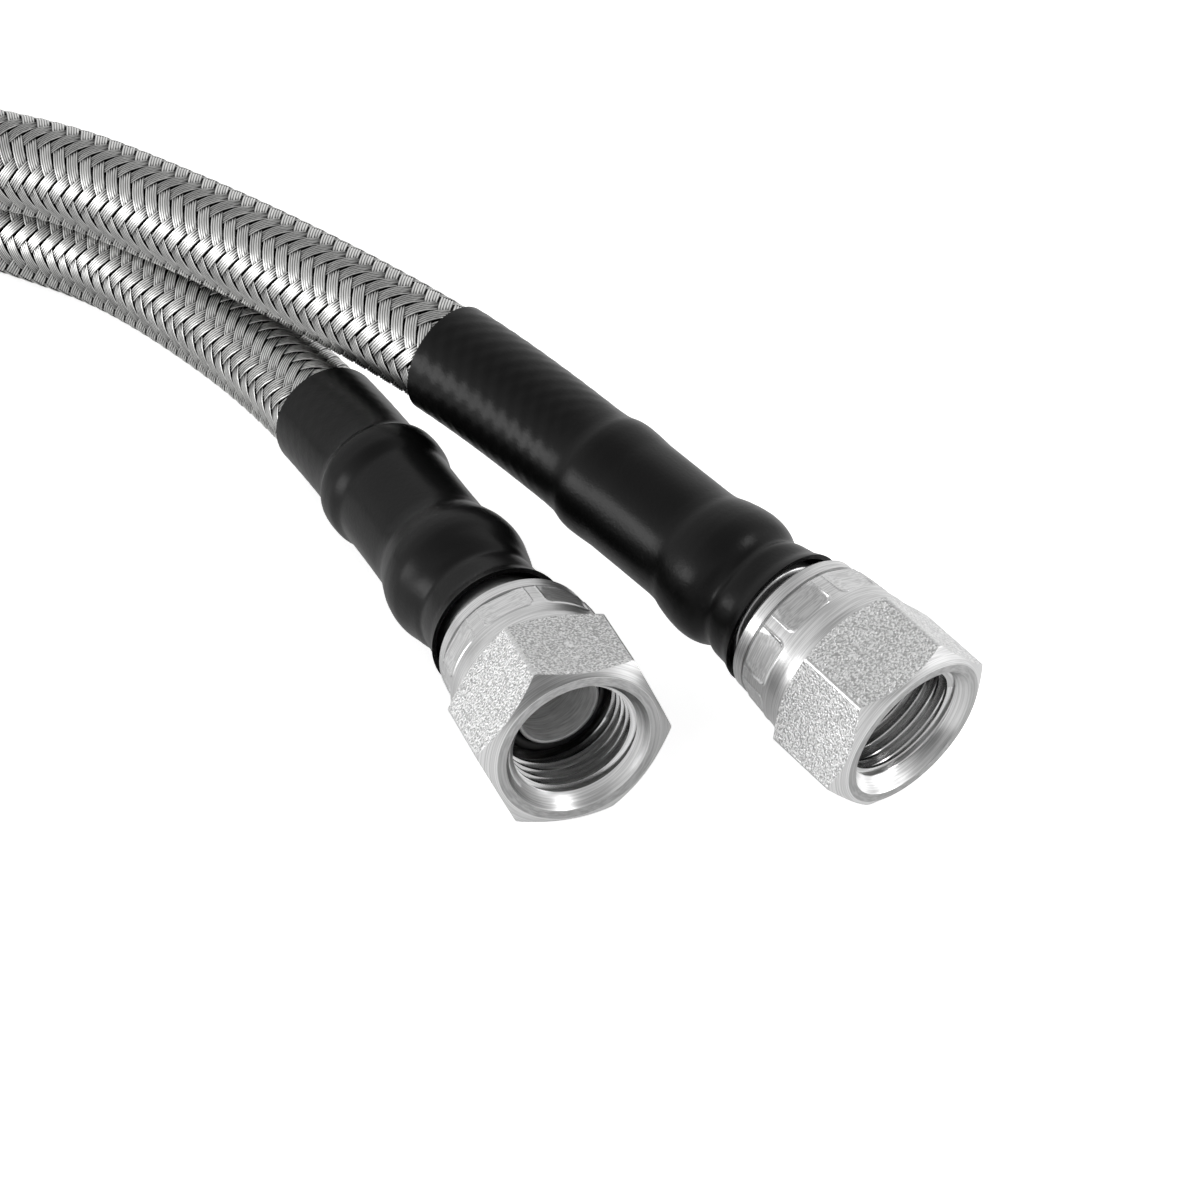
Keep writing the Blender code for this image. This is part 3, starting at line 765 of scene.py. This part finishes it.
def collar_skin():
    """The collar's outside, from under the hexagon to the rear face, with its eight pressed flats."""
    knots = (
        (NUT_SEAM, 12.6),
        (13.65, 13.5),  # the round bar just behind the hexagon
        (14.1, 13.46),
        (16.2, 13.4),
        (17.6, 13.15),  # the taper that is pressed in
        (19.4, 12.9),
        (21.6, 12.75),
        (24.1, 12.45),
        (24.3, 11.65),  # a turned groove
        (24.65, 11.65),
        (24.75, 12.2),  # the rear band
        (26.6, 12.1),
        (27.0, 11.75),
        (27.0, 8.45),
    )
    known = np.array(knots)
    travel = np.linalg.norm(np.diff(known, axis=0), axis=1)
    travel = np.concatenate([[0.0], np.cumsum(travel)])
    at = np.union1d(np.arange(0.0, travel[-1], SKIN_ROW), travel)
    station = np.interp(at, travel, known[:, 0])
    plain = (station < 17.8) | (station > 24.8) | ((station > 22.0) & (station < 23.6))
    kept = ~plain | np.isin(at, travel) | (np.arange(len(at)) % 4 == 0)
    outline = np.stack([station, np.interp(at, travel, known[:, 1])], axis=1)[kept]
    bm = bmesh.new()
    bmesh.ops.create_grid(bm, x_segments=SKIN_COLUMNS, y_segments=len(outline) - 1, size=1.0)

    # How far each point is from the rounded edge of its flat: less than nothing inside it.
    angles = np.linspace(0.0, math.tau, SKIN_COLUMNS + 1)[None, :]
    station, radius = (outline[:, i, None] * np.ones_like(angles) for i in (0, 1))
    off = ((angles / math.tau * STAKES) % 1.0 - 0.5) * math.tau / STAKES
    x = np.abs(STAKE_DEPTH * np.tan(off)) - STAKE_HALF_WIDTH + STAKE_CORNER
    y = STAKE_FRONT + STAKE_CORNER - station
    edge = np.hypot(np.maximum(x, 0), np.maximum(y, 0)) + np.minimum(np.maximum(x, y), 0) - STAKE_CORNER

    sunk = np.clip(0.5 - edge / STAKE_EDGE, 0.0, 1.0)
    sunk = sunk * sunk * (3 - 2 * sunk)
    ahead = station < 24.2  # of the turned groove
    burr = BURR_HEIGHT * np.exp(-(((edge - 0.2) / BURR_WIDTH) ** 2)) * (ahead & (station > 18.0))
    flat = STAKE_DEPTH / np.cos(off)
    pressed = np.where(ahead, radius + sunk * np.minimum(flat - radius, 0.0) + burr, radius)
    points = np.stack([pressed * np.cos(angles), pressed * np.sin(angles), station], axis=-1)
    for vert, point in zip(bm.verts, points.reshape(-1, 3)):
        vert.co = point
    bmesh.ops.remove_doubles(bm, verts=bm.verts, dist=1e-4)
    bmesh.ops.recalc_face_normals(bm, faces=bm.faces)
    return bm


def plating(name, colours, roughness, marks, relief, turned_marks=True):
    """Bright zinc plating over marks of these sizes in millimetres. Turned marks are measured out
    from the axis, along it and across it, and others along the nut's own X, Y and Z."""
    made, tree, shader = start_material(name, Metallic=1.0)
    place = add_node(tree, "Attribute", attribute_name="local").outputs["Vector"]
    if turned_marks:
        parts = add_node(tree, "SeparateXYZ", {"Vector": place}).outputs
        flat = add_node(tree, "CombineXYZ", {"X": parts["X"], "Y": parts["Y"]}).outputs["Vector"]
        out = add_node(tree, "VectorMath", {0: flat}, operation="LENGTH").outputs["Value"]
        place = {"X": out, "Y": parts["Z"], "Z": parts["X"]}
        place = add_node(tree, "CombineXYZ", place).outputs["Vector"]
    scale = tuple(1 / size for size in marks)
    place = add_node(tree, "Mapping", {"Vector": place, "Scale": scale}).outputs["Vector"]
    grain = add_node(tree, "TexNoise", {"Vector": place, "Scale": 1.0, "Detail": 2.0})
    finish_by(grain.outputs["Fac"], tree, shader, colours, (0.4, 0.6), roughness, relief)
    return made


# Four finishes of one bright zinc plating, which keeps the marks of what it covers.
# Forged: the grit of the die on the flats, about 0.35 mm across, which glitters.
forged = plating(
    "forged_zinc_plate",
    ("b4b4b4", "f4f4f4"),
    roughness=(0.24, 0.38),
    marks=(1 / 2.8, 1 / 2.8, 1 / 3.4),
    relief=(1.0, 0.25),
    turned_marks=False,
)
# Turned: tool lines round the chamfers, the mouth and the collar. The real ones, 0.1 mm apart, are
# too fine to show, so they are drawn 0.2 mm apart.
lathed = plating(
    "turned_zinc_plate",
    ("c4c4c4", "e0e0e0"),
    roughness=(0.26, 0.36),
    marks=(0.2, 0.2, 1 / 0.15),
    relief=(0.25, 0.04),
)
# Faced: the ring at the front, duller, with coarser lines 0.33 mm apart.
faced = plating(
    "faced_zinc_plate",
    ("9e9e9e", "b6b6b6"),
    roughness=(0.3, 0.4),
    marks=(1 / 3.0, 1 / 3.0, 1 / 0.8),
    relief=(0.3, 0.06),
)
# Bored: the thread, smoother than the rest, so that each turn of it catches a crisp line of light.
bored = plating(
    "bored_zinc_plate",
    ("c8c8c8", "e8e8e8"),
    roughness=(0.16, 0.24),
    marks=(1 / 3.0, 1 / 3.0, 1 / 0.1),
    relief=(0.1, 0.03),
)
FORGED, LATHED, BORED, FACED = range(4)

for end, nut_size in NUTS.items():
    mesh = bpy.data.meshes.new("nut_bar")
    bm = hexagon()
    bm.to_mesh(mesh)
    bm.free()
    bar = bpy.data.objects.new("nut_bar", mesh)
    scene.collection.objects.link(bar)
    corner = NUT_CORNER + 0.03
    envelope = (  # the front ring, its rounded rim, the chamfer over the corners, and the rear one
        (0.0, 0.5),
        (0.0, 12.75),
        (0.05, 12.88),
        (0.15, 13.05),
        (1.9, corner),
        (13.65, corner),
        (14.85, 13.4),
        (14.85, 0.5),
    )
    cut(bar, turned(envelope, 256), "envelope", "INTERSECT")
    core = ((NUT_SEAM, 8.0), (NUT_SEAM, 11.6), (26.97, 11.6), (26.97, 8.0))
    cut(bar, turned(core, 96), "core", "UNION")
    bore = (
        (-1.0, 0.3),
        (-1.0, 11.75),
        (0.0, 11.35),  # the mouth's rounded rim
        (0.2, 11.2),
        (0.6, 11.0),  # the countersink
        (1.4, 10.5),
        (2.2, 9.85),
        (2.7, 9.32),  # the thread's crest
        (10.5, 9.32),
        (11.1, 10.6),  # room for the nipple's head
        (16.4, 10.6),
        (17.6, 8.45),  # the seat that bears on the head, and the hole in the rear
        (28.0, 8.45),
        (28.0, 0.3),
    )
    cut(bar, turned(bore, 192), "bore", "DIFFERENCE")
    cut(bar, thread(), "thread", "DIFFERENCE")
    bm = bmesh.new()
    bm.from_mesh(bar.data)
    bpy.data.objects.remove(bar)
    bmesh.ops.remove_doubles(bm, verts=bm.verts, dist=1e-4)
    for face in bm.faces:
        middle = face.calc_center_median()
        face.material_index = LATHED
        if math.hypot(middle.x, middle.y) < 11.3 and middle.z > 2.6:
            face.material_index = BORED
        elif middle.z < 0.01:
            face.material_index = FACED
        elif abs(face.normal.z) < 0.01 and middle.z < 14.0:
            off_flat = math.degrees(math.atan2(face.normal.y, face.normal.x)) % 60.0
            face.material_index = LATHED if 3.0 < off_flat < 57.0 else FORGED
    skin = collar_skin()
    for face in skin.faces:
        face.material_index = LATHED
    mesh = bpy.data.meshes.new("collar_skin")
    skin.to_mesh(mesh)
    skin.free()
    bm.from_mesh(mesh)
    turn = Matrix.Rotation(math.radians(nut_size["turn"] - 90.0), 3, "Z")
    bmesh.ops.rotate(bm, cent=(0, 0, 0), matrix=turn, verts=bm.verts)
    nut = add_piece(
        bm,
        "swivel_nut_" + end,
        finishes=[forged, lathed, bored, faced],
        body="nut_" + end,
        node="nut_" + end,
        place=lambda points: on_axis(points, end, nut_size["way"]),
        sharp=30.0,
    )
    for face in nut.data.polygons:
        face.use_smooth = face.material_index != FORGED
